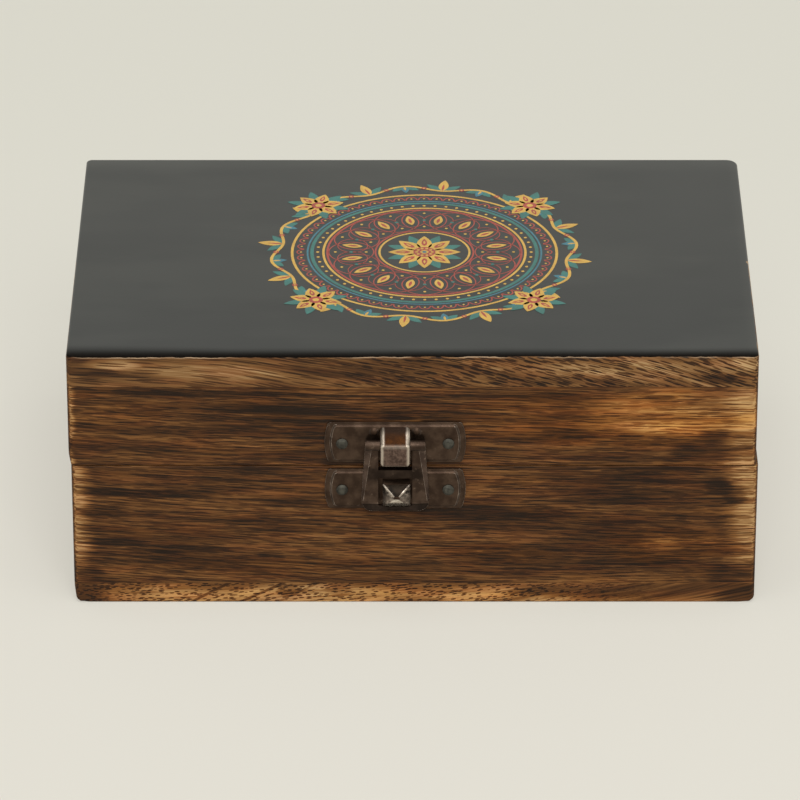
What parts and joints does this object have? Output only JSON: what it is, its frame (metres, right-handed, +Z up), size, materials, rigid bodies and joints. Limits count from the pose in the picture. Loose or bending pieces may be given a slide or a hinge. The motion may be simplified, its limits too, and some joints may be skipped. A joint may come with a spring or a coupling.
{
  "type": "ditty box",
  "caption": "Small wooden keepsake box with burnt brown sides, a black painted top with a round ornament, a hinged lid and a pressed metal front latch.",
  "frame": {"origin": "middle of the base's underside, on the surface the box stands on", "axes": "+X along the box's width, to the right seen from the front; the latch is on the -Y face; +Z up"},
  "size_m": [0.1525, 0.1066, 0.0617],
  "materials": {
    "burnt_wood": "torched and waxed open-grained hardwood, satin",
    "bottom_wood": "lighter, lightly torched hardwood, waxed",
    "painted_top": "satin black paint with a printed round ornament above, torched wood at the edge",
    "latch_bronze": "dark antique bronze plating, worn bright on the raised edges",
    "nail_steel": "dull greyish steel",
    "hinge_bronze": "dark antique bronze plating",
    "screw_steel": "dark plated steel"
  },
  "bodies": {
    "base": {"bottom_board": "bottom_wood", "base_front_board": "burnt_wood", "base_back_board": "burnt_wood", "base_left_board": "burnt_wood", "base_right_board": "burnt_wood", "latch_catch_plate": "latch_bronze", "catch_plate_nails": "nail_steel", "left_hinge_base_leaf": "hinge_bronze", "left_hinge_pin": "hinge_bronze", "left_hinge_base_screws": "screw_steel", "right_hinge_base_leaf": "hinge_bronze", "right_hinge_pin": "hinge_bronze", "right_hinge_base_screws": "screw_steel"},
    "lid": {"lid_top_board": "painted_top", "lid_front_board": "burnt_wood", "lid_back_board": "burnt_wood", "lid_left_board": "burnt_wood", "lid_right_board": "burnt_wood", "latch_upper_plate": "latch_bronze", "upper_plate_nails": "nail_steel", "left_hinge_lid_leaf": "hinge_bronze", "left_hinge_lid_screws": "screw_steel", "right_hinge_lid_leaf": "hinge_bronze", "right_hinge_lid_screws": "screw_steel"},
    "hasp": {"latch_hasp": "latch_bronze"}
  },
  "joints": [
    {"name": "lid_hinge", "type": "hinge", "parent": "base", "child": "lid", "pos_m": [0, 0.0482, 0.03463], "axis": [-1, 0, 0], "range_deg": [0, 100]},
    {"name": "hasp_hinge", "type": "hinge", "parent": "lid", "child": "hasp", "pos_m": [-0.0043, -0.0531, 0.04097], "axis": [-1, 0, 0], "range_deg": [0, 165]}
  ]
}
